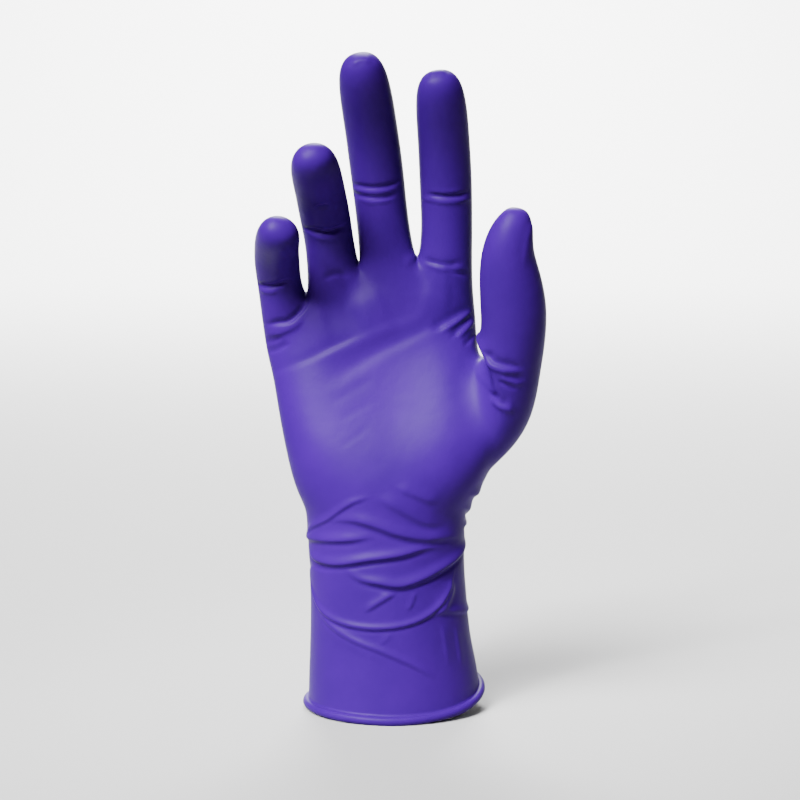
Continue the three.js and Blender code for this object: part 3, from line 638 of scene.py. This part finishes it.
# The film is stretched tight over the foot of the thumb, so the step beside it is smoothed out.
THUMB_FOOT = (31.0, 125.0)
THUMB_FOOT_SIZE = (6.5, 17.0)
TIGHT_PASSES = 30
bpy.ops.object.select_all(action="DESELECT")
glove.select_set(True)
bpy.context.view_layer.objects.active = glove
spots, facing = points_of(glove)
tight = (((spots[:, [0, 2]] - THUMB_FOOT) / THUMB_FOOT_SIZE) ** 2).sum(1) < 1
edit_points(tight & (facing[:, 1] < -0.1))
bpy.ops.mesh.vertices_smooth(factor=0.5, repeat=TIGHT_PASSES)
bpy.ops.object.mode_set(mode="OBJECT")

# The outer face gets a finer mesh where a narrow fold runs.
NARROW_FOLD = 2.4
LEAST_LIFT = 0.03
fine = np.zeros(len(glove.data.vertices), bool)
for width, lift in every_fold(*points_of(glove)):
    if width < NARROW_FOLD:
        fine |= abs(lift) > LEAST_LIFT
edit_points(fine)
bpy.ops.mesh.select_more()
bpy.ops.mesh.subdivide(number_cuts=1)
bpy.ops.mesh.vertices_smooth(factor=0.5, repeat=2)
bpy.ops.object.mode_set(mode="OBJECT")

# The inner face lies deep enough that no groove of the outer one comes through it.
FILM_DEPTH = 1.8
INNER_SHARE = 0.5
for face, share, depth in ((glove, 1, 0), (inside, INNER_SHARE, FILM_DEPTH)):
    spots, facing = points_of(face)
    lift = sum(lift for _, lift in every_fold(spots, facing)) * share - depth
    spots += facing * lift[:, None]
    face.data.vertices.foreach_set("co", (spots * MM).ravel())
    face.data.update()

# The rolled bead
# The film is rolled outwards at the hem, so the edge won't tear. The roll is a solid ring, which
# carries over from the outer face to the inner one.
BEAD_RADIUS = 1.75
BEAD_START = 112
BEAD_END = -168
BEAD_STEPS = 16

# share of the radius, number round the hem, start
BEAD_WAVES = [(0.05, 3, 1), (0.03, 7, 0)]


def select_edge():
    """Selects the open edges of the mesh."""
    bpy.ops.mesh.select_mode(type="VERT")
    bpy.ops.mesh.select_all(action="DESELECT")
    bpy.ops.mesh.select_non_manifold(extend=False, use_wire=False, use_multi_face=False)


bpy.ops.object.mode_set(mode="EDIT")
select_edge()
cage = bmesh.from_edit_mesh(glove.data)
hem_mark = cage.verts.layers.int["stop"]
hem = {}
for number, point in enumerate([one for one in cage.verts if one.select]):
    point[hem_mark] = number
    out = Vector((point.normal.x, point.normal.y, 0)).normalized()
    lap = math.atan2(point.co.y, point.co.x)
    wave = sum(share * math.sin(times * lap + start) for share, times, start in BEAD_WAVES)
    hem[number] = (point.co.copy(), out, BEAD_RADIUS * (1 + wave))
bmesh.update_edit_mesh(glove.data)
first = math.radians(BEAD_START)
for step in range(1, BEAD_STEPS + 1):
    angle = math.radians(mix(BEAD_START, BEAD_END, step / BEAD_STEPS))
    bpy.ops.mesh.extrude_edges_move()
    cage = bmesh.from_edit_mesh(glove.data)
    hem_mark = cage.verts.layers.int["stop"]
    forth, up = math.cos(angle) - math.cos(first), math.sin(angle) - math.sin(first)
    for point in cage.verts:
        if point.select:
            start, out, radius = hem[point[hem_mark]]
            point.co = start + (out * forth + Vector((0, 0, up))) * radius * MM
    bmesh.update_edit_mesh(glove.data)
bpy.ops.object.mode_set(mode="OBJECT")
glove.select_set(True)
inside.select_set(True)
bpy.ops.object.join()
bpy.ops.object.mode_set(mode="EDIT")
select_edge()
bpy.ops.mesh.bridge_edge_loops()
bpy.ops.mesh.select_all(action="SELECT")
bpy.ops.mesh.normals_make_consistent(inside=False)
bpy.ops.object.mode_set(mode="OBJECT")
bpy.ops.object.shade_smooth()
for layer in MARKS:
    glove.data.attributes.remove(glove.data.attributes[layer])

# The nitrile
# The rubber is dyed through, a violet blue with a satin face. The dye gathers a little where the
# film ran on the former, and a very fine grain breaks up the shine.
nitrile = bpy.data.materials.new("violet nitrile")
nitrile.use_nodes = True
nodes, links = nitrile.node_tree.nodes, nitrile.node_tree.links
shader = nodes["Principled BSDF"]
shader.inputs["Specular IOR Level"].default_value = 0.045
place = nodes.new("ShaderNodeTexCoord")

dye = nodes.new("ShaderNodeTexNoise")
dye.inputs["Scale"].default_value = 28
dye.inputs["Detail"].default_value = 3
shades = nodes.new("ShaderNodeValToRGB")
shades.color_ramp.elements[0].position = 0.3
shades.color_ramp.elements[0].color = (0.0200, 0.0004, 0.094, 1)
shades.color_ramp.elements[1].position = 0.7
shades.color_ramp.elements[1].color = (0.0260, 0.0006, 0.115, 1)
links.new(place.outputs["Object"], dye.inputs["Vector"])
links.new(dye.outputs["Fac"], shades.inputs["Fac"])
links.new(shades.outputs["Color"], shader.inputs["Base Color"])

satin = nodes.new("ShaderNodeMapRange")
satin.inputs["To Min"].default_value = 0.4
satin.inputs["To Max"].default_value = 0.5
links.new(dye.outputs["Fac"], satin.inputs["Value"])
links.new(satin.outputs["Result"], shader.inputs["Roughness"])

grain = nodes.new("ShaderNodeTexNoise")
grain.inputs["Scale"].default_value = 1400
grain.inputs["Detail"].default_value = 2
slack = nodes.new("ShaderNodeTexNoise")
slack.inputs["Scale"].default_value = 160
slack.inputs["Detail"].default_value = 2
links.new(place.outputs["Object"], grain.inputs["Vector"])
links.new(place.outputs["Object"], slack.inputs["Vector"])
grain_bump = nodes.new("ShaderNodeBump")
grain_bump.inputs["Strength"].default_value = 0.12
grain_bump.inputs["Distance"].default_value = 0.0002
slack_bump = nodes.new("ShaderNodeBump")
slack_bump.inputs["Strength"].default_value = 0.2
slack_bump.inputs["Distance"].default_value = 0.0006
links.new(grain.outputs["Fac"], grain_bump.inputs["Height"])
links.new(slack.outputs["Fac"], slack_bump.inputs["Height"])
links.new(slack_bump.outputs["Normal"], grain_bump.inputs["Normal"])
links.new(grain_bump.outputs["Normal"], shader.inputs["Normal"])
glove.data.materials.append(nitrile)

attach(glove, "root")
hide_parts("glove_film")

# The studio
# A seamless pale sweep: a floor that curves up into a wall behind the glove.
SWEEP_SIZE = 6
SWEEP_HEIGHT = 3
SWEEP_BEND = 1.2
bpy.ops.object.select_all(action="DESELECT")
bpy.ops.mesh.primitive_plane_add(size=SWEEP_SIZE, location=(0, 0, cad_box[0][2]))
sweep = bpy.context.object
sweep.name = "sweep"
bpy.ops.object.mode_set(mode="EDIT")
bpy.ops.mesh.select_all(action="DESELECT")
floor = bmesh.from_edit_mesh(sweep.data)
for edge in floor.edges:
    edge.select_set(all(point.co.y > 0 for point in edge.verts))
bmesh.update_edit_mesh(sweep.data)
bpy.ops.mesh.extrude_edges_move(TRANSFORM_OT_translate={"value": (0, 0, SWEEP_HEIGHT)})
bpy.ops.object.mode_set(mode="OBJECT")
bend = sweep.modifiers.new("bend", "BEVEL")
bend.width = SWEEP_BEND
bend.segments = 24
bend.limit_method = "ANGLE"
bpy.ops.object.modifier_apply(modifier=bend.name)
bpy.ops.object.shade_smooth()
paper = bpy.data.materials.new("white paper")
paper.use_nodes = True
paper_shader = paper.node_tree.nodes["Principled BSDF"]
paper_shader.inputs["Base Color"].default_value = (0.28, 0.28, 0.28, 1)
paper_shader.inputs["Roughness"].default_value = 0.9
sweep.data.materials.append(paper)

world = bpy.data.worlds.new("studio")
bpy.context.scene.world = world
world.use_nodes = True
world.node_tree.nodes["Background"].inputs["Color"].default_value = (1, 1, 1, 1)
world.node_tree.nodes["Background"].inputs["Strength"].default_value = 0.02

GLOVE_MIDDLE = Vector((2.4, 0, 118.8)) * MM


def aim(thing, target):
    """Turns a lamp or the camera towards its target."""
    thing.rotation_euler = (target - thing.location).to_track_quat("-Z", "Y").to_euler()


def soft_box(name, place, target, size, power, spread):
    bpy.ops.object.light_add(type="AREA", location=place)
    light = bpy.context.object
    light.name = name
    light.data.size = size
    light.data.energy = power
    light.data.spread = math.radians(spread)
    aim(light, Vector(target))


# A large key light with a grid, high on the left, a small one low on the left for the sleeve, and
# one that only whitens the sweep.
soft_box("key light", (-0.54, -0.68, 1.18), (0, 0, 0.09), 0.9, 15, 45)
soft_box("sleeve light", (-0.55, -0.7, 0.7), (-0.01, 0, 0.015), 0.3, 0.4, 11)
soft_box("sweep light", (0, 2.0, 2.0), (0, 2.6, 0), 1.0, 640, 145)

# The camera stands a metre off and looks down on the palm a little, as in the photograph.
CAMERA_DISTANCE = 1.0
CAMERA_HEIGHT = 8
FRAME_HEIGHT = 0.32
tilt = math.radians(CAMERA_HEIGHT)
from_glove = Vector((0, -math.cos(tilt), math.sin(tilt))) * CAMERA_DISTANCE
bpy.ops.object.camera_add(location=GLOVE_MIDDLE + from_glove)
camera = bpy.context.object
camera.data.sensor_fit = "HORIZONTAL"
camera.data.angle = 2 * math.atan(FRAME_HEIGHT / 2 / CAMERA_DISTANCE)
aim(camera, GLOVE_MIDDLE)
bpy.context.scene.camera = camera
